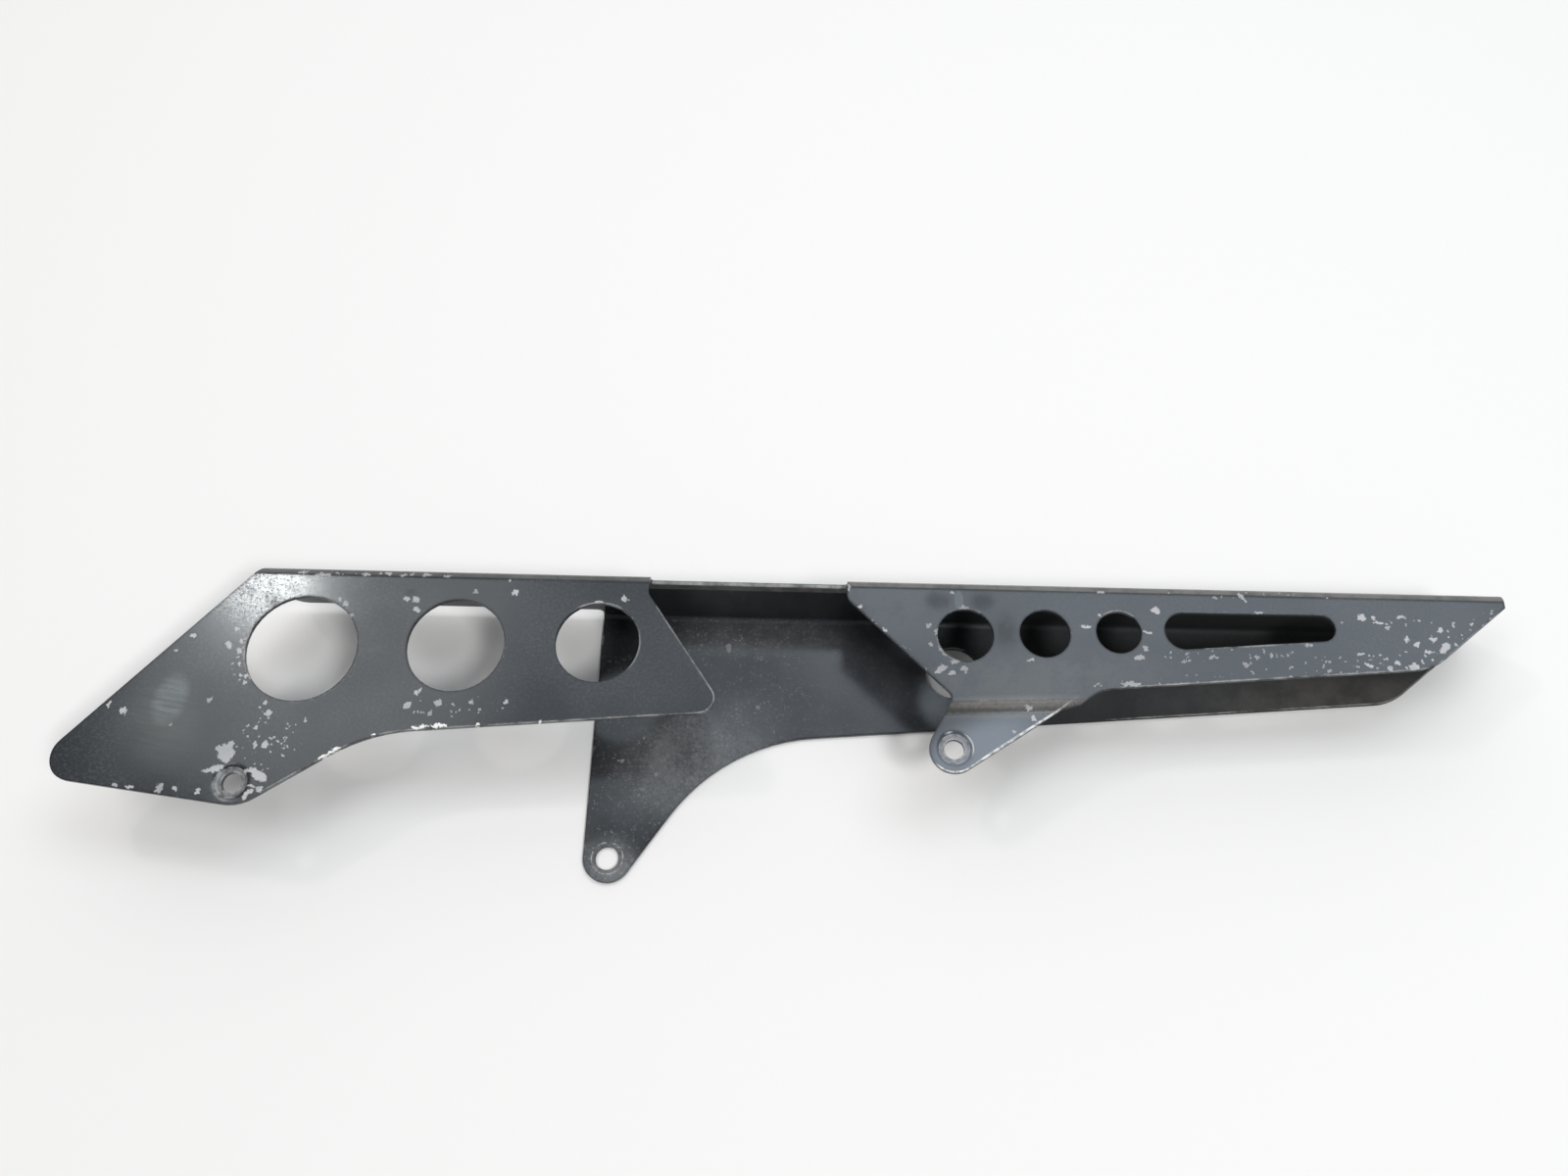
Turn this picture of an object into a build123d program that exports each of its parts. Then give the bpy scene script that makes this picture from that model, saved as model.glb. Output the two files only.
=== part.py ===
"""Motorcycle chain guard: one steel sheet folded into a tapering U channel.

Millimetres. The guard lies on its inner plate, as on a bench. X runs along the spine to the narrow rear end,
Y runs from the open lower edge up to the spine, and Z goes from the inner plate to the outer plates.
The origin is the centre of the bolt hole in the inner plate's tab, on the underside of the sheet.
"""

import os
from math import acos, atan2, cos, degrees, hypot, radians, sin, tan

from build123d import *

# Sheet and channel section
sheet = 1.6
bend_radius = 2.2  # inside radius of the two long folds
channel_depth = 38.6  # outside, from the inner plate to the outer plates
spine_y = 96.4  # outer face of the spine

# Lower edge, one line that all three plates share
taper_angle = 5.1
taper_y = 40.7  # height of the line above the origin

# Front outer plate
front_tip = (-198.9, 15.6)
front_tip_radius = 8.7
front_nose_angle = 49.2  # slope of the long front edge
front_heel = (-122.1, 6.2)
front_heel_radius = 15.0
front_sweep_x = -81.4  # where the heel runs into the tapered lower edge
front_sweep_radius = 60.0
front_end_x = 43.0  # lower corner at the window
front_end_radius = 5.6

# Window between the two outer plates
window_front_x = 12.6
window_rear_x = 84.4
window_cut = 7.8  # straight cut across the fold, before the edges slant away
window_cut_radius = 3.0
window_spine_drop = 6.0  # the spine's free edge lies this far below the outer face
window_corner_radius = 1.2

# Rear outer plate
rear_notch = (122.3, 52.2)  # where the slanted front edge meets the tab
rear_notch_radius = 3.5
rear_step = (166.5, 50.9)  # end of the tab's root
rear_sweep_x = 173.8
rear_sweep_radius = 18.0
rear_end_run = 28.9  # length of the slanted cut at the narrow end, along the spine
rear_end_radius = 22.0
rear_end_angle = 39.7
spine_rear_x = 319.3

# Joggled tab of the rear plate
tab_bolt = (122.3, 34.1)
tab_radius = 8.7
tab_root = (160.2, 49.4)  # where the tab's long edge meets the plate
tab_root_radius = 0.8
joggle_y = 50.3  # height of the fold line where it leaves the notch
joggle_angle = 2.66
joggle_drop = 3.0
joggle_run = 3.5
joggle_radius = 1.4

# Spine ahead of the inner plate
spine_front_x = -128.4
spine_front_radius = 6.0
spine_lift = 6.9  # free edge above the underside
spine_lift_radius = 2.2

# Inner plate, which ends in a tab round the origin
inner_tab_radius = 8.8
inner_sweep_x = 40.2
inner_sweep_radius = 70.0

# Lightening holes on one line, with their places along X and their diameters
hole_line_y = 69.4
hole_line_angle = 2.66
front_hole_xs = (-110.0, -55.0, -4.4)
front_hole_diameters = (40.0, 35.0, 30.0)
rear_hole_xs = (126.7, 155.0, 181.2)
rear_hole_diameters = (20.0, 18.0, 16.0)
slot_front_x = 204.5
slot_front_diameter = 14.0
slot_rear_x = 253.0
slot_rear_diameter = 10.0
access_centre = (126.0, 74.3)  # hole in the inner plate, behind the first rear hole
access_diameter = 20.0

# Bolt holes, the outer two in pressed seats
front_bolt = (-125.8, 14.7)
bolt_diameter = 7.0
seat_floor_diameter = 9.6
seat_diameter = 12.4
seat_depth = 1.0
seat_lip = 1.0  # ring that blends the seat into the plate
seat_radius = 0.5
inner_bolt_diameter = 8.5

bend_outer = bend_radius + sheet
top = channel_depth
beyond = spine_y + sheet  # outlines run past the spine, which trims them
leg_end = min(-inner_tab_radius, front_heel[1], tab_bolt[1] - tab_radius) - sheet


def taper(x):
    """Point of the shared lower edge at x."""
    return (x, taper_y + x * tan(radians(taper_angle)))


def on_hole_line(x):
    """Point of the lightening holes' centre line at x."""
    return (x, hole_line_y + x * tan(radians(hole_line_angle)))


def along(start, angle, y):
    """Point at height y on the line that leaves start at an angle to X."""
    return (start[0] + (y - start[1]) / tan(radians(angle)), y)


def tip_arc(centre, radius, left, right):
    """Round end of a tab, between the tangents from a point on its left and one on its right."""
    angles = []
    for (x, y), side in ((left, 1), (right, -1)):
        reach = (x - centre[0], y - centre[1])
        lean = acos(radius / hypot(*reach))
        angles.append(degrees(atan2(reach[1], reach[0]) + side * lean))
    return CenterArc(centre, radius, angles[0], 360 + angles[1] - angles[0])


cut_y = spine_y - window_cut
rear_corner = taper(spine_rear_x - rear_end_run)
rear_end_top = (spine_rear_x, rear_corner[1] + rear_end_run * tan(radians(rear_end_angle)))

with BuildSketch() as front_outline:
    with BuildLine():
        FilletPolyline(
            along(front_tip, front_nose_angle, beyond),
            front_tip,
            front_heel,
            taper(front_sweep_x),
            taper(front_end_x),
            (window_front_x, cut_y),
            (window_front_x, beyond),
            radius=[
                0,
                front_tip_radius,
                front_heel_radius,
                front_sweep_radius,
                front_end_radius,
                window_cut_radius,
                0,
            ],
            close=True,
        )
    make_face()

with BuildSketch() as rear_outline:
    with BuildLine():
        tip = tip_arc(tab_bolt, tab_radius, rear_notch, tab_root)
        FilletPolyline(
            tip @ 1,
            tab_root,
            rear_step,
            taper(rear_sweep_x),
            rear_corner,
            rear_end_top,
            (spine_rear_x, beyond),
            (window_rear_x, beyond),
            (window_rear_x, cut_y),
            rear_notch,
            tip @ 0,
            radius=[
                tab_root_radius,
                tab_root_radius,
                rear_sweep_radius,
                rear_end_radius,
                0,
                0,
                0,
                window_cut_radius,
                rear_notch_radius,
            ],
        )
    make_face()

with BuildSketch() as inner_outline:
    with BuildLine():
        tip = tip_arc((0, 0), inner_tab_radius, (-inner_tab_radius, beyond), taper(inner_sweep_x))
        FilletPolyline(
            tip @ 1,
            taper(inner_sweep_x),
            rear_corner,
            rear_end_top,
            (spine_rear_x, beyond),
            (-inner_tab_radius, beyond),
            tip @ 0,
            radius=[inner_sweep_radius, rear_end_radius, 0, 0, 0],
        )
    make_face()

# Room that the trimmed sheet takes up, wall by wall
with BuildPart() as trim:
    with BuildSketch(Plane.XY.offset(top - bend_outer)):
        add(front_outline.sketch)
        add(rear_outline.sketch)
    extrude(amount=bend_outer)
    with BuildSketch(Plane.XY):
        add(inner_outline.sketch)
    extrude(amount=bend_outer)
    with BuildSketch(Plane.XZ.offset(-spine_y)):
        with BuildLine():
            FilletPolyline(
                (spine_front_x, top),
                (spine_front_x, spine_lift),
                (-inner_tab_radius, spine_lift),
                (-inner_tab_radius, 0),
                (spine_rear_x, 0),
                (spine_rear_x, top),
                (window_rear_x, top),
                (window_rear_x, top - window_spine_drop),
                (window_front_x, top - window_spine_drop),
                (window_front_x, top),
                radius=[
                    0,
                    spine_front_radius,
                    spine_lift_radius,
                    0,
                    0,
                    0,
                    0,
                    window_corner_radius,
                    window_corner_radius,
                    0,
                ],
                close=True,
            )
        make_face()
    extrude(amount=bend_outer)

# Joggled tab: a stepped strip along the fold line, cut to the rear plate's outline
ridge = Vector(cos(radians(joggle_angle)), sin(radians(joggle_angle)), 0)
uphill = Vector(-ridge.Y, ridge.X, 0)
strip_start = tab_bolt[0] - 2 * tab_radius
strip_origin = (strip_start, joggle_y - (rear_notch[0] - strip_start) * tan(radians(joggle_angle)), top)
strip_length = rear_corner[0] - strip_start
strip_reach = joggle_y - tab_bolt[1] + 2 * tab_radius
joggle_plane = Plane(origin=strip_origin, x_dir=uphill, z_dir=ridge)

with BuildPart() as rear_tab:
    with BuildSketch(joggle_plane):
        with BuildLine():
            FilletPolyline(
                (bend_outer, 0),
                (0, 0),
                (-joggle_run, -joggle_drop),
                (-strip_reach, -joggle_drop),
                radius=[joggle_radius + sheet, joggle_radius],
            )
            offset(amount=sheet, side=Side.LEFT)
        make_face()
    extrude(amount=strip_length)
    with BuildSketch(Plane.XY.offset(top - joggle_drop - 2 * sheet)):
        add(rear_outline.sketch)
    extrude(amount=joggle_drop + 2 * sheet, mode=Mode.INTERSECT)

with BuildPart() as chain_guard:
    # Folded channel, longer than the guard at both ends and on both legs
    with BuildSketch(Plane.YZ.offset(front_tip[0])):
        with BuildLine():
            FilletPolyline(
                (leg_end, top),
                (spine_y, top),
                (spine_y, 0),
                (leg_end, 0),
                radius=bend_outer,
            )
            offset(amount=sheet, side=Side.RIGHT)
        make_face()
    extrude(amount=spine_rear_x - front_tip[0])
    add(trim.part, mode=Mode.INTERSECT)

    # The flat below the fold line gives way to the joggled tab
    with BuildSketch(Plane(origin=strip_origin, x_dir=ridge, z_dir=(0, 0, 1))):
        Rectangle(strip_length, strip_reach, align=(Align.MIN, Align.MAX))
    extrude(amount=-bend_outer, mode=Mode.SUBTRACT)
    add(rear_tab.part)

    # Lightening holes and the tapered slot in the outer plates
    hole_xs = front_hole_xs + rear_hole_xs
    for x, diameter in zip(hole_xs, front_hole_diameters + rear_hole_diameters):
        with Locations((*on_hole_line(x), top)):
            Hole(diameter / 2, depth=bend_outer)
    slot_front = on_hole_line(slot_front_x)
    slot_rear = on_hole_line(slot_rear_x)
    slot_taper = (slot_front_diameter - slot_rear_diameter) / 2
    lean = degrees(acos(slot_taper / hypot(slot_rear[0] - slot_front[0], slot_rear[1] - slot_front[1])))
    with BuildSketch(Plane.XY.offset(top)):
        with BuildLine():
            front_arc = CenterArc(slot_front, slot_front_diameter / 2, hole_line_angle + lean, 360 - 2 * lean)
            rear_arc = CenterArc(slot_rear, slot_rear_diameter / 2, hole_line_angle - lean, 2 * lean)
            Line(front_arc @ 1, rear_arc @ 0)
            Line(rear_arc @ 1, front_arc @ 0)
        make_face()
    extrude(amount=-bend_outer, mode=Mode.SUBTRACT)

    # Access hole and bolt hole in the inner plate
    with Locations((*access_centre, sheet)):
        Hole(access_diameter / 2, depth=sheet)
    with Locations((0, 0, sheet)):
        Hole(inner_bolt_diameter / 2, depth=sheet)

    # Pressed seats: the flat disc is cut out and a dished ring takes its place
    seat_rim = seat_diameter / 2 + seat_lip
    for bolt, level in ((front_bolt, top), (tab_bolt, top - joggle_drop)):
        with Locations((*bolt, level)):
            Hole(seat_rim, depth=sheet)
        with BuildSketch(Plane(origin=(*bolt, level), x_dir=(1, 0, 0), z_dir=(0, -1, 0))):
            with BuildLine():
                FilletPolyline(
                    (bolt_diameter / 2, -seat_depth),
                    (seat_floor_diameter / 2, -seat_depth),
                    (seat_diameter / 2, 0),
                    (seat_rim, 0),
                    radius=[seat_radius, seat_radius + sheet],
                )
                offset(amount=sheet, side=Side.RIGHT)
            make_face()
        revolve(axis=Axis((*bolt, level), (0, 0, 1)))

chain_guard.part.label = "chain_guard"

os.makedirs("parts", exist_ok=True)
export_step(chain_guard.part, "parts/chain_guard.step")
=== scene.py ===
from math import radians

import bpy
from mathutils import Matrix, Vector


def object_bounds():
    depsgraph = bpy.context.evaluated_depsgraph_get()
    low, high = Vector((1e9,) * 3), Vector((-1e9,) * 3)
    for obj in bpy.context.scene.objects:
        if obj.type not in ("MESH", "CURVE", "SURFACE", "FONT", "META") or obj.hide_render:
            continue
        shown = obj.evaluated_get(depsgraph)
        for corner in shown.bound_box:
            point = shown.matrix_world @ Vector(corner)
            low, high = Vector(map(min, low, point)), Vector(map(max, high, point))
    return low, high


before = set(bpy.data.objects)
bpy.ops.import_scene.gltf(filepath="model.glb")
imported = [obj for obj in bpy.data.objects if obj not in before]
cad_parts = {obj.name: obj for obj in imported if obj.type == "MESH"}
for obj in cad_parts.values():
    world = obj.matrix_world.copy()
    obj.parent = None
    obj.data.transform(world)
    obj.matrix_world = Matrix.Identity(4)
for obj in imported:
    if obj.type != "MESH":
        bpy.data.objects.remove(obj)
cad_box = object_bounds()

# Chain guard: one steel sheet, cut out, folded into a tapering U channel and painted satin black all over.
# Grit and boots have chipped the outer plates down to the pale primer and worn the cut edges bright.
# Three bolts hold it on, and the washers of the outer two have scraped their pressed seats bare.
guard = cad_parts["chain_guard"]
paint = bpy.data.materials.new("satin_black_paint")
paint.use_nodes = True
tree = paint.node_tree


def feed(shader, inputs):
    """Sets a shader node's inputs, each to a value or to another node's output."""
    for socket, value in inputs.items():
        if isinstance(value, bpy.types.NodeSocket):
            shader.id_data.links.new(value, shader.inputs[socket])
        else:
            shader.inputs[socket].default_value = value


def shade(kind, inputs, output=0, **settings):
    """Adds a shader node to the paint and gives back one of its outputs."""
    made = tree.nodes.new("ShaderNode" + kind)
    for name, value in settings.items():
        setattr(made, name, value)
    feed(made, inputs)
    return made.outputs[output]


def calc(operation, a, b=0.0, c=0.0):
    """Arithmetic on up to three values."""
    return shade("Math", {0: a, 1: b, 2: c}, operation=operation)


def overlap(*shares):
    """Product of several shares: where all of them lie."""
    product = shares[0]
    for share in shares[1:]:
        product = calc("MULTIPLY", product, share)
    return product


def either(*shares):
    """Largest of several shares: where any of them lies."""
    largest = shares[0]
    for share in shares[1:]:
        largest = calc("MAXIMUM", largest, share)
    return largest


def rise(value, low, high, bottom=0.0, top=1.0):
    """Eases from bottom to top while the value goes from low to high."""
    ends = {"From Min": low, "From Max": high, "To Min": bottom, "To Max": top}
    return shade("MapRange", {"Value": value, **ends}, interpolation_type="SMOOTHSTEP")


def tint(share, under, over):
    """Lays one colour over another."""
    return shade("Mix", {0: share, 6: under, 7: over}, output=2, data_type="RGBA")


def grain(where, size, detail, rough, output=0):
    """Cloudy noise whose patches are about that many millimetres across."""
    inputs = {"Vector": where, "Scale": 1 / size, "Detail": detail, "Roughness": rough}
    return shade("TexNoise", inputs, output=output)


def shaken(where, size, reach):
    """Places shifted about by noise, up to half that reach each way."""
    noise = grain(where, size, detail=1.0, rough=0.6, output=1)
    shift = shade("VectorMath", {0: noise, 1: (0.5, 0.5, 0.5)}, operation="SUBTRACT")
    return shade("VectorMath", {0: shift, 1: (reach, reach, reach), 2: where}, operation="MULTIPLY_ADD")


# Places on the sheet, in millimetres, and the same places gathered into small flakes for torn outlines.
metre = 1000.0
flake_size = 0.6
place = shade("VectorMath", {0: shade("TexCoord", {}, output=3), "Scale": metre}, operation="SCALE")
loose_place = shaken(place, size=1.2, reach=0.8)
flakes = shade("TexVoronoi", {"Vector": loose_place, "Scale": 1 / flake_size}, output=2)
ragged = shaken(flakes, size=3.0, reach=2.2)

# Which face of the sheet: the outer plates, the inner plate, or a cut edge of the outer plates.
x, y, z = shade("SeparateXYZ", {0: place}).node.outputs
normal = shade("NewGeometry", {}, output=1)
face_up = shade("SeparateXYZ", {0: normal}, output=2)
outer_level = 28.0
spine_inside_y = 94.0
raised = rise(z, outer_level, outer_level + 1)
lying = rise(face_up, 0.4, 0.8)
standing = rise(calc("ABSOLUTE", face_up), 0.5, 0.2)
outside = overlap(lying, raised)
inside = overlap(lying, calc("SUBTRACT", 1.0, raised))
cut_edge = overlap(standing, raised, rise(y, spine_inside_y, spine_inside_y - 1))

leaning_places = {}


def leaning(where, lean):
    """The same places with X turned to that many degrees, made once for each lean."""
    if lean and (where, lean) not in leaning_places:
        inputs = {"Vector": where, "Angle": radians(-lean)}
        leaning_places[where, lean] = shade("VectorRotate", inputs, rotation_type="Z_AXIS")
    return leaning_places.get((where, lean), where)


def oval_places(where, length, width, lean):
    """Places square on to the plates, sized so that an oval of this form is a circle of radius 1."""
    grow = (2 / length, 2 / width, 0)
    return shade("VectorMath", {0: leaning(where, lean), 1: grow}, operation="MULTIPLY")


def nearest(where, forms):
    """Distance from the nearest of many ovals, as a share of its half size: 1 is its rim.

    Each form has a length, a width and a lean in degrees, and the places where such an oval lies.
    """
    reach = None
    for (length, width, lean), middles in forms.items():
        sized = oval_places(where, length, width, lean)
        for middle in middles:
            turned = Matrix.Rotation(radians(-lean), 2) @ Vector(middle)
            centre = (turned.x * 2 / length, turned.y * 2 / width, 0)
            away = shade("VectorMath", {0: sized, 1: centre}, output=1, operation="DISTANCE")
            reach = calc("MINIMUM", reach, away) if reach else away
    return reach


def spread(forms, start, full, top=1.0):
    """Share that eases in from one reach of these ovals to another, nearer their middles."""
    return rise(nearest(place, forms), start, full, 0.0, top)


def torn(forms):
    """Share inside these ovals, with a torn outline."""
    torn_rim = 0.12
    return rise(nearest(ragged, forms), 1.0, 1 - torn_rim)


# Chips of the outer plates by their form, from dots to torn patches.
dot = (1.4, 1.4, 0)
speck = (2.0, 1.8, 0)
blob = (2.8, 2.4, 0)
flat_chip = (2.8, 1.5, 0)
square_chip = (3.6, 2.2, 0)
patch = (6.4, 6.8, 0)
dash = (3.6, 1.1, 0)
long_dash = (6.4, 1.3, 4)
tall_chip = (1.3, 2.6, 0)
left_stroke = (1.6, 3.3, -35)
right_stroke = (4.6, 1.4, 30)
left_wing = (8.6, 2.3, 13)
right_wing = (7.4, 3.3, -33)
rim_stroke = (1.2, 4.8, 40)
end_chip = (5.0, 2.8, 35)
chip_forms = {
    dot: [
        (-104, 37.5), (-154.5, 62), (-151, 34.5), (-99, 83.5), (-94, 77.5), (-38, 92.5), (35.6, 56),
        (89.5, 85.5), (98, 76.5), (122, 91.5), (175, 84), (216.5, 92), (276.5, 82.5), (143.5, 40.5),
        (-131.8, 66), (-131.4, 57.5), (-129.6, 53.4), (-127.4, 50.6), (-120, 9.4), (-86, 94.2), (-74, 94.2),
    ],
    speck: [
        (-119, 43.5), (-120.5, 34), (-165.5, 12.5), (-144.5, 12), (-134.5, 70.5), (-102, 53), (-96.5, 81.5),
        (-75, 84.5), (-50, 87.5), (-60.5, 41), (-46.5, 45.5), (-34.5, 46), (114.5, 71.5), (113.5, 78.5),
        (-132.4, 26.4), (190, 72), (295, 81.5), (275.5, 66.5), (254, 65.5),
    ],
    blob: [
        (-128.3, 28), (-116.5, 28), (-117.5, 39.5), (-168.5, 39), (-136, 64.5), (-97.5, 54.5), (-149.6, 68),
        (-71.5, 84), (-70.5, 80), (-36, 87.5), (-69, 43.5), (-58.5, 44.5), (-115.6, 12.6), (4, 86),
        (126, 62.5), (195, 86.5), (121.5, 61), (267.5, 85.5),
    ],
    flat_chip: [(225, 67), (289.5, 73), (268, 67.5), (122.5, 65.3), (292, 78), (278, 69), (148, 49.2)],
    square_chip: [(188, 68.5), (283.5, 67.5)],
    patch: [(-129.4, 24.8)],
    dash: [
        (204, 67.5), (231.5, 86.5), (265.5, 71.5), (273, 84), (247.5, 74.5), (282, 86), (175.5, 93),
        (-91, 93.5), (-114.5, 93.5), (-150.5, 10.5), (-160, 12), (126, 85.7), (-5, 85), (214, 69), (229, 70),
        (150, 66.5), (169.5, 79.5), (191, 78), (-120.9, 18.8), (-118, 13.6), (-83, 94), (-77, 93.4),
        (-69, 94), (-61, 93.6),
    ],
    long_dash: [(-107, 93), (185, 58.5)],
    tall_chip: [
        (-120, 28), (-132, 62.5), (-128, 53), (272, 85.5), (282.5, 77.5), (234, 70.5), (85, 92.5),
        (-174, 41), (-136.5, 11), (116.5, 76.5), (150, 45.8),
    ],
    left_stroke: [(-139, 44), (-119, 11), (-66, 49), (286, 76), (-150, 11.8), (-125.5, 53.5)],
    left_wing: [(-132.7, 19.2)],
    right_wing: [(-116.7, 17.3)],
    end_chip: [(295.5, 74.8), (117.8, 62.2)],
    rim_stroke: [(118.5, 69), (226, 92.5)],
}
rub = grain(place, size=8.0, detail=3.0, rough=0.65)
chip_depth = rise(rub, 0.25, 0.5, 0.6)
large_chips = overlap(torn(chip_forms), outside, chip_depth)

# Chips of the inner plate, all small but one, and none of them deep.
inner_chip_depth = 0.4
inner_chip_forms = {
    (2.2, 4, 10): [(40, 82)],
    speck: [(2.5, 36.5), (15.5, 31.5)],
    dot: [(10, 45.5), (52, 58.5)],
}
inner_chips = overlap(torn(inner_chip_forms), inside, inner_chip_depth)

# Where grit has hit most, small chips lie close together; elsewhere they are rare.
struck_forms = {
    (80, 10, 4): [(262, 68)],
    (46, 6, 3): [(277, 84.5)],
    (36, 13, 35): [(290, 76)],
    (42, 7, 40): [(303, 79)],
    (120, 5, 5): [(215, 61.5)],
    (70, 8, 2): [(222, 70)],
    (30, 30, 0): [(-115, 31)],
    (9, 32, 0): [(-131, 62)],
    (80, 4, 0): [(-90, 93.5), (230, 93.5)],
    (50, 10, 5): [(-52, 44)],
    (6, 52, 44): [(103, 70)],
}
struck = overlap(spread(struck_forms, 1.25, 0.4), outside)


def small_chips(where, size, common, rare):
    """Chips in cells of that size, one to a cell at most.

    common and rare are the shares of cells that are chipped where the sheet is struck and elsewhere.
    """
    growth = 2.6
    largest = 0.42
    rim = 0.06
    cells = shade("TexVoronoi", {"Vector": where, "Scale": 1 / size}).node.outputs
    luck = shade("SeparateColor", {0: cells["Color"]})
    share = rise(struck, 0.0, 1.0, rare, common)
    radius = calc("MULTIPLY", calc("SUBTRACT", luck, calc("SUBTRACT", 1.0, share)), growth)
    return rise(calc("SUBTRACT", calc("MINIMUM", radius, largest), cells["Distance"]), 0.0, rim)


coarse_grit = small_chips(ragged, size=2.6, common=0.10, rare=0.004)
fine_grit = small_chips(ragged, size=1.2, common=0.26, rare=0.01)
dashes = small_chips(oval_places(ragged, 4.6, 1.6, 3), size=1.0, common=0.16, rare=0.0)
scatter_depth = 0.85
scatter = overlap(either(coarse_grit, fine_grit, dashes), scatter_depth)
chips = either(large_chips, inner_chips, scatter)

# Worn edges: the rounded normal leaves the flat one there. The cut face below keeps most of its paint.
edge_round = 0.001
cut_face_wear = 0.15
rounded = shade("Bevel", {"Radius": edge_round}, samples=3)
turn = shade("VectorMath", {0: rounded, 1: normal}, output=1, operation="DOT_PRODUCT")
upper_edge = overlap(rise(turn, 0.9995, 0.965), rise(face_up, 0.3, 0.7))
edge = either(upper_edge, overlap(cut_edge, cut_face_wear))
rubbed_forms = {
    (64, 6, 5.1): [(212, 59.6)],
    (60, 3, 5.1): [(270, 64.8)],
    (150, 5, 5.1): [(-25, 38.5)],
    (16, 12, 0): [(39.5, 45)],
    (54, 5, -55): [(28.5, 66)],
    (11, 26, 0): [(9, 67)],
    (22, 5, 0): [(-4, 84), (126, 85.4), (182, 85.7)],
    (9, 18, 40): [(118.5, 69)],
    (52, 3, 2): [(238, 73.8)],
    (40, 5, 39.7): [(304, 78)],
    (8, 24, 0): [(-130, 61)],
    (22, 6, 28): [(-96, 24.5), (-110, 15.5)],
}
rubbed = spread(rubbed_forms, 1.3, 0.6)
start_level, start_drop = 0.62, 0.34
full_level, full_drop = 0.92, 0.28
wear_starts = calc("SUBTRACT", start_level, overlap(rubbed, start_drop))
wear_ends = calc("SUBTRACT", full_level, overlap(rubbed, full_drop))
edge_wear = overlap(edge, rise(rub, wear_starts, wear_ends))

# Knocks on the lower edge of the front plate are down to bright steel.
knock_forms = {
    long_dash: [(-63.5, 36), (-56.8, 36.8)],
    right_stroke: [(-95, 25), (-92, 27)],
    dot: [(-79.5, 32.6), (-43.5, 37.4), (-22, 39.2)],
}
knocks = overlap(torn(knock_forms), raised)

# The spine's free edge in the window is rubbed down to grey metal.
free_edge_level = 36.0
below_plates = rise(z, free_edge_level, free_edge_level - 1)
on_spine = rise(y, spine_inside_y, spine_inside_y + 0.5)
free_edge = overlap(rise(face_up, 0.5, 0.8), raised, below_plates, on_spine)
free_edge_wear = overlap(free_edge, rise(rub, 0.3, 0.6, 0.08, 0.34))

# Seats that the washers have scraped, round the two outer bolts, and a thin washer ring on the inner tab.
front_bolt = (-125.8, 14.7)
tab_bolt = (122.3, 34.1)
inner_bolt = (0, 0)
seat = (12.4, 12.4, 0)
crescent_seat = (11.2, 11.2, 0)
crescent_middle = (front_bolt[0] - 0.8, front_bolt[1] - 0.8)
washer = (11.8, 11.8, 0)
scrape = grain(place, size=2.2, detail=3.0, rough=0.65)
front_reach = nearest(place, {seat: [front_bolt]})
tab_reach = nearest(place, {seat: [tab_bolt]})
seat_reach = calc("MINIMUM", front_reach, tab_reach)


def ring(reach, middle, half_width):
    """Thin ring at one reach from a bolt."""
    return calc("COMPARE", reach, middle, half_width)


crescent = overlap(
    spread({crescent_seat: [crescent_middle]}, 1.05, 0.95),
    rise(front_reach, 0.78, 0.86),
    rise(scrape, 0.35, 0.6, 0.08, 0.26),
)
seat_wall = overlap(
    rise(seat_reach, 0.6, 0.7),
    rise(seat_reach, 0.9, 0.8),
    rise(scrape, 0.3, 0.6, 0.06, 0.2),
)
seat_rings = overlap(
    either(ring(seat_reach, 0.85, 0.035), ring(seat_reach, 0.61, 0.045)),
    rise(scrape, 0.35, 0.6, 0.08, 0.42),
)
# Painted highlight: a bright arc on the outer rim of the tab's seat.
rim_glint = overlap(ring(tab_reach, 1.06, 0.035), spread({(6, 11, 25): [(128.2, 36)]}, 1.1, 0.3, 0.6))
seat_wear_and_glint = overlap(either(seat_rings, seat_wall, crescent, rim_glint), raised)
seats = overlap(rise(seat_reach, 1.0, 0.85), raised)
washer_reach = nearest(place, {washer: [inner_bolt]})
washer_ring = overlap(ring(washer_reach, 0.97, 0.035), inside, rise(scrape, 0.4, 0.6, 0, 0.35))

# The rear plate's tab has a bright line along its long edge and round the near side of its end: worn paint,
# with a painted highlight of the rounded edge.
tab_round = overlap(ring(tab_reach, 1.34, 0.055), rise(y, 29.4, 26.6))
tab_side = spread({(56, 1.5, 34.3): [(143.5, 38.5)]}, 1.0, 0.5)
tab_wear_and_highlight = overlap(either(tab_round, tab_side), rise(scrape, 0.36, 0.6, 0.3, 1.0), outside)
# Bare metal, together with the painted highlights of the tab line and the seat rim.
bare_and_glints = either(edge_wear, knocks, free_edge_wear, tab_wear_and_highlight, seat_wear_and_glint, washer_ring)

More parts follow.
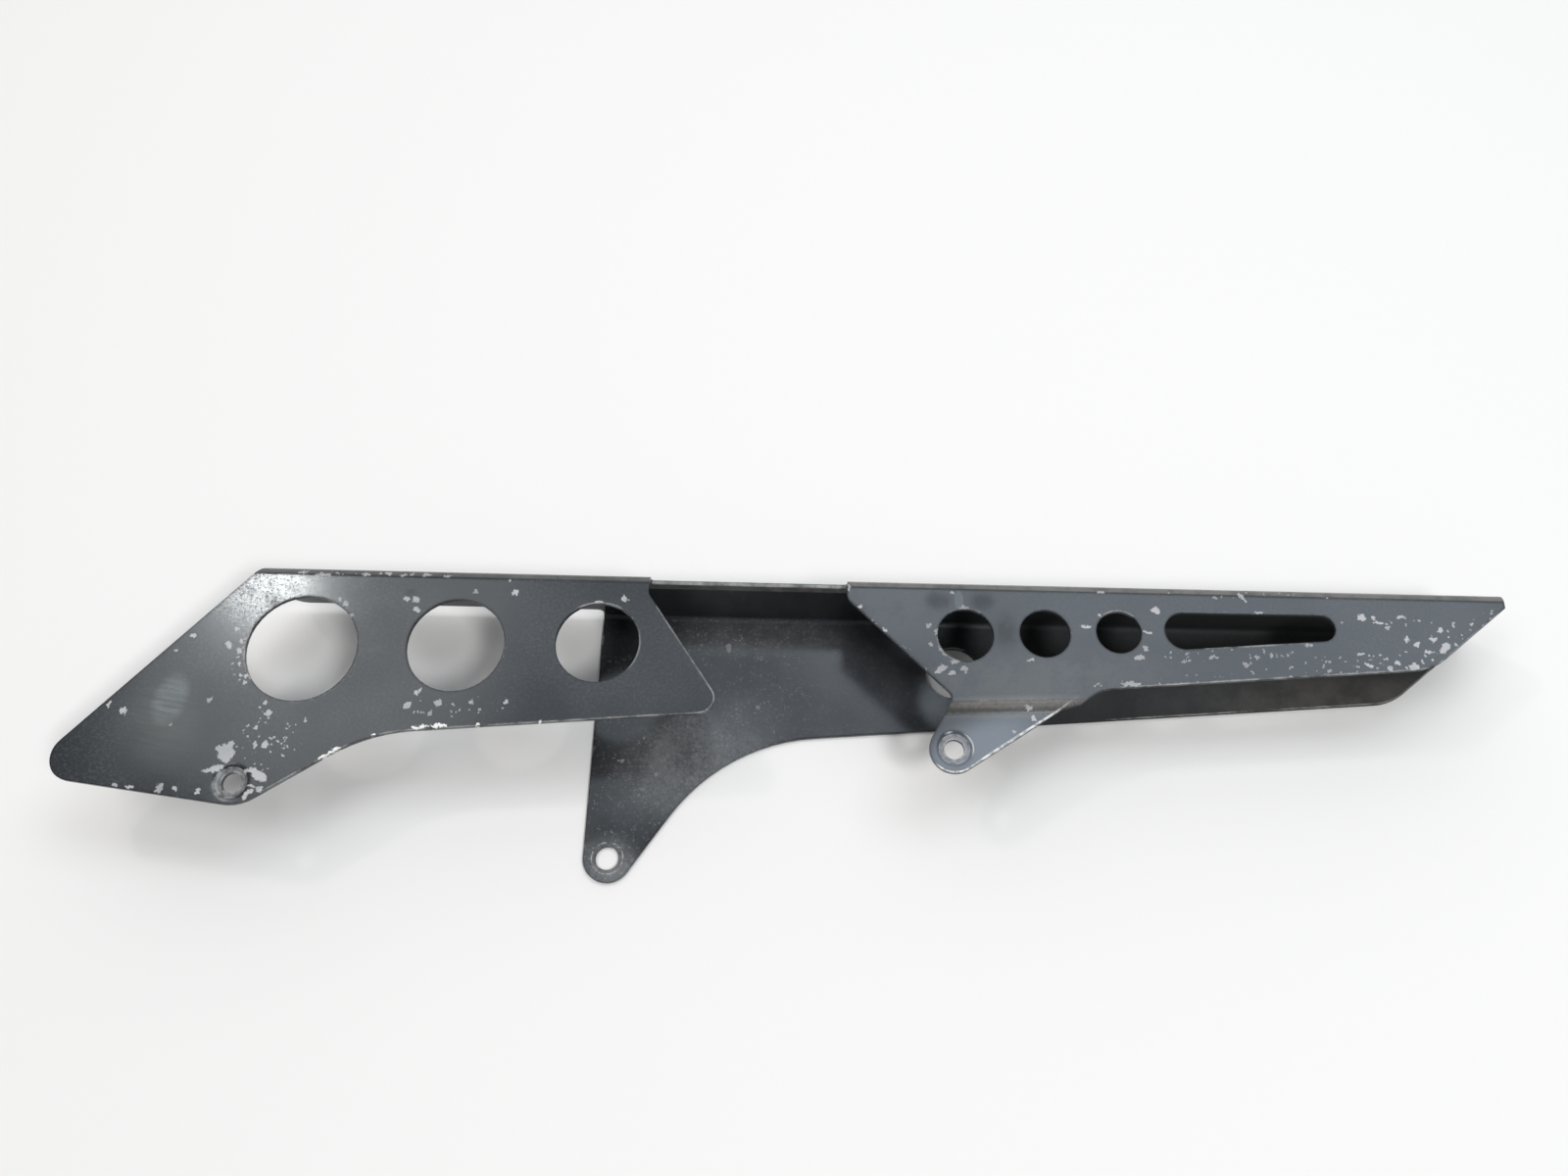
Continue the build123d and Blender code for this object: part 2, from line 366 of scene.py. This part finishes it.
# Dust: a thin film all over and a haze with specks on the inner plate. A pale bluish painted sheen on the
# rear plate's tab, dust with a painted highlight along the tab's fold, and dust with painted sheen in a band
# over the top bend and the upper part of the spine's back.
# Painted shade: the sheltered faces of the narrow end are darkened, and take less of the film.
clouds = grain(place, size=46.0, detail=2.0, rough=0.6)
fine_dust = grain(place, size=1.1, detail=3.0, rough=0.75)
blotches = grain(place, size=11.0, detail=3.0, rough=0.7)
sheltered_shade = overlap(calc("SUBTRACT", 1.0, outside), rise(x, 105.0, 160.0))
film = overlap(
    rise(fine_dust, 0.4, 0.8),
    rise(clouds, 0.35, 0.7, 0.03, 0.12),
    rise(sheltered_shade, 0.0, 1.0, 1.0, 0.2),
)
settled_forms = {(56, 38, 25): [(29, 38)], (20, 18, 0): [(1, -2)]}
under_spine_forms = {(76, 17, 0): [(46, 87)]}
settled = rise(nearest(place, settled_forms), 1.5, 0.3, 0.15, 1.0)
settled = either(settled, spread(under_spine_forms, 1.5, 0.4, 0.5))
haze = overlap(inside, settled, rise(calc("ADD", blotches, fine_dust), 0.7, 1.4, 0.25, 0.53))
specks = overlap(
    rise(fine_dust, 0.6, 0.68),
    inside,
    rise(rub, 0.35, 0.65, 0.16, 0.6),
    rise(x, 90.0, 40.0, 0.12, 1.0),
)
# Painted highlight along the ridge of the tab's fold; dust in the fold also lightens its shaded root.
fold = spread({(70, 8, 2.7): [(143, 49.4)]}, 1.2, 0.4, 0.26)
ridge_highlight = spread({(74, 4.0, 2.7): [(143, 50.3)]}, 1.2, 0.3, 0.55)
fold_dust_and_highlight = overlap(either(fold, ridge_highlight), rise(scrape, 0.2, 0.6, 0.7, 1.0), outside)
# Dust with painted sheen over the top bend, lifting the dark dip where the bend reflects little light.
top_bend = overlap(rise(face_up, 0.9995, 0.965), rise(y, 91.0, 93.0), raised)
top_dust_and_sheen = overlap(top_bend, rise(blotches, 0.3, 0.6, 0.2, 0.4), rise(x, -10.0, 90.0, 0.55, 1.0))
# Painted sheen: a pale bluish patch on the tab for its reflection of the light.
tab_sheen = overlap(spread({(54, 20, 27): [(130, 34.5)]}, 1.3, 0.3, 0.5), outside)
loose_dust = either(film, haze)

# Road dust: brown on the chain's side, thicker towards the narrow end, where it also paints the light coming
# in at the open end; and a trace low on the rear plate.
road_dust_and_light = overlap(
    inside,
    rise(x, 185.0, 290.0),
    rise(y, 80.0, 72.0),
    rise(blotches, 0.3, 0.65, 0.4, 1.0),
)
lower_dust = overlap(spread({(120, 24, 4): [(150, 60)]}, 1.2, 0.2), rise(blotches, 0.3, 0.6), outside)

# Scuff on the front tip: a pale haze, brushed along the sheet, and a pale patch over the first rear hole.
strokes = grain(oval_places(place, 24.0, 2.0, -9), size=1.5, detail=2.0, rough=0.6)
tip_scuff = overlap(spread({(13, 20, -8): [(-153, 43.8)]}, 1.15, 0.6), rise(strokes, 0.3, 0.65, 0.3, 1.0))
wide_scuff = overlap(spread({(34, 44, 20): [(-154, 36)]}, 1.1, 0.2), rise(strokes, 0.3, 0.7, 0.25, 0.45))
patch_scuff = spread({(3.4, 8, 0): [(124.6, 88.5)]}, 1.1, 0.8, 0.6)
scuff = overlap(calc("ADD", calc("ADD", tip_scuff, wide_scuff), patch_scuff), outside)

# Smudges that dull the gloss.
smudge_forms = {
    (10, 8, 0): [(117.5, 88.5), (133, 88.5)],
    (10, 16, 0): [(141, 77)],
    (6.5, 4.5, 0): [(-74, 86.7), (-65.4, 72.5)],
}
smudges = overlap(spread(smudge_forms, 1.4, 0.3), rise(blotches, 0.2, 0.6, 0.3))
smudges = overlap(either(smudges, rise(blotches, 0.5, 0.8, 0.0, 0.3)), outside)

# Colours, from the paint up to the steel and the primer of the chips. The steel grey also paints highlights
# on the tab's edge and seat rim.
black = (0.011, 0.0125, 0.0145, 1)
worn_black = (0.026, 0.029, 0.033, 1)
# Near-black for the painted shade on the sheltered faces.
shade_black = (0.011, 0.0105, 0.0095, 1)
dust = (0.285, 0.29, 0.30, 1)
brown_dust = (0.20, 0.185, 0.16, 1)
fold_grey = (0.33, 0.315, 0.29, 1)
tab_blue = (0.22, 0.25, 0.30, 1)
scuff_grey = (0.20, 0.23, 0.225, 1)
primer = (0.27, 0.268, 0.275, 1)
pale_primer = (0.45, 0.45, 0.46, 1)
steel_and_glint = (0.72, 0.72, 0.70, 1)
coats = [
    (overlap(sheltered_shade, 0.9), shade_black),
    (either(overlap(road_dust_and_light, 0.36), overlap(lower_dust, 0.14)), brown_dust),
    (loose_dust, dust),
    (tab_sheen, tab_blue),
    (overlap(scuff, 0.42), scuff_grey),
    (specks, dust),
    (either(fold_dust_and_highlight, top_dust_and_sheen), fold_grey),
    (bare_and_glints, steel_and_glint),
    (chips, tint(rise(clouds, 0.35, 0.6), primer, pale_primer)),
]
colour = tint(rise(clouds, 0.3, 0.7), black, worn_black)
for share, coat in coats:
    colour = tint(share, colour, coat)

# Gloss: smooth satin paint, and what each kind of dirt and wear adds to its roughness.
dulled_by = [
    (smudges, 0.2),
    (rise(fine_dust, 0.45, 0.7), 0.06),
    (loose_dust, 0.5),
    (either(chips, fold_dust_and_highlight), 0.3),
    (scuff, 0.12),
    (sheltered_shade, 0.6),
    (seats, 0.2),
    (either(overlap(road_dust_and_light, 0.6), bare_and_glints), 0.32),
]
gloss = rise(clouds, 0.3, 0.7, 0.10, 0.145)
for share, roughness in dulled_by:
    gloss = calc("MULTIPLY_ADD", share, roughness, gloss)

# The paint has dried with a faint orange-peel skin.
peel_depth = 0.00001
peel = grain(place, size=1.8, detail=2.0, rough=0.5)
relief = shade("Bump", {"Strength": 0.5, "Distance": peel_depth, "Height": peel, "Normal": rounded})

feed(
    tree.nodes["Principled BSDF"],
    {
        "Base Color": colour,
        "Roughness": gloss,
        "Metallic": overlap(bare_and_glints, 0.3),
        "Specular IOR Level": 0.5,
        "Specular Tint": (0.86, 0.94, 1, 1),
        "Normal": relief,
    },
)
guard.data.materials.clear()
guard.data.materials.append(paint)

# Floor: a plain pale matt board that the guard lies on, four metres out each way.
# It is set a hair below the sheet, so that the two faces don't meet.
floor_half = 4.0
floor_drop = 0.0001
floor_level = cad_box[0].z - floor_drop
corners = [(-1, -1), (1, -1), (1, 1), (-1, 1)]
floor_corners = [(a * floor_half, b * floor_half, floor_level) for a, b in corners]
floor_mesh = bpy.data.meshes.new("floor")
floor_mesh.from_pydata(floor_corners, [], [(0, 1, 2, 3)])
floor = bpy.data.objects.new("floor", floor_mesh)
bpy.context.scene.collection.objects.link(floor)
board = bpy.data.materials.new("pale_board")
board.use_nodes = True
board_shader = board.node_tree.nodes["Principled BSDF"]
feed(board_shader, {"Base Color": (0.86, 0.855, 0.845, 1), "Roughness": 1.0, "Specular IOR Level": 0.0})
floor.data.materials.append(board)

# Light: a dim even room, and softboxes 1.5 m up behind the guard, for the rear end, the rear plate's corner,
# the middle and the front. One more hangs over the left and one over the near side at the right, a low broad
# one lights the back, and a small lamp glares on the front plate's upper corner.
room = bpy.data.worlds.new("room")
room.use_nodes = True
room_light = {"Color": (0.97, 0.985, 1, 1), "Strength": 0.18}
feed(room.node_tree.nodes["Background"], room_light)
bpy.context.scene.world = room


def softbox(name, position, aim, size, power, tone=(1, 1, 1)):
    """Rectangular lamp that faces a point."""
    lamp = bpy.data.lights.new(name, "AREA")
    lamp.shape = "RECTANGLE"
    lamp.size, lamp.size_y = size
    lamp.energy = power
    lamp.color = tone
    holder = bpy.data.objects.new(name, lamp)
    holder.location = position
    holder.rotation_euler = (Vector(aim) - Vector(position)).to_track_quat("-Z", "Y").to_euler()
    holder.visible_camera = False
    bpy.context.scene.collection.objects.link(holder)


cool = (0.9, 0.945, 1)
faintly_cool = (0.96, 0.98, 1)
faintly_warm = (1, 0.98, 0.95)
warm = (1, 0.95, 0.9)
softbox("rear_softbox", (0.775, 0.60, 1.5), (0.775, 0.07, 0), (1.05, 0.62), 6.8, cool)
softbox("rear_corner", (0.16, 0.76, 1.49), (0.16, 0.20, 0), (0.19, 0.26), 0.44, cool)
softbox("middle_softbox", (-0.075, 0.60, 1.5), (-0.075, 0.10, 0), (0.66, 0.46), 1.2, faintly_cool)
softbox("front_softbox", (-0.68, 0.60, 1.5), (-0.79, 0.10, 0), (0.56, 0.46), 2.3, faintly_warm)
softbox("left_softbox", (-0.54, -0.05, 1.5), (0.05, 0.05, 0), (0.5, 0.5), 4.0)
softbox("near_softbox", (0.66, -0.56, 1.5), (-0.3, 0.05, 0), (0.4, 0.3), 13.0)
softbox("corner_lamp", (-0.768, 0.715, 1.5), (-0.1, 0.09, 0), (0.1, 0.07), 1.6, warm)
softbox("back_softbox", (0.05, 1.60, 0.92), (0.05, 0.08, 0.02), (3.0, 1.65), 12.5)

# Camera: held in front of the guard's open side, looking steeply down on it.
eye = Vector((0.07307, -0.10473, 0.4906))
ahead = Vector((-0.02345, 0.39883, -0.91671)).normalized()
camera_up = Vector((-0.0235, 0.9165, 0.3993))
side = ahead.cross(camera_up).normalized()
facing = Matrix((side, side.cross(ahead), -ahead)).transposed().to_4x4()
camera = bpy.data.objects.new("camera", bpy.data.cameras.new("camera"))
camera.matrix_world = Matrix.Translation(eye) @ facing
camera.data.sensor_width = 36.0
camera.data.lens = 31.275
camera.data.clip_start = 0.01
bpy.context.scene.collection.objects.link(camera)
bpy.context.scene.camera = camera
bpy.context.scene.view_settings.view_transform = "Standard"
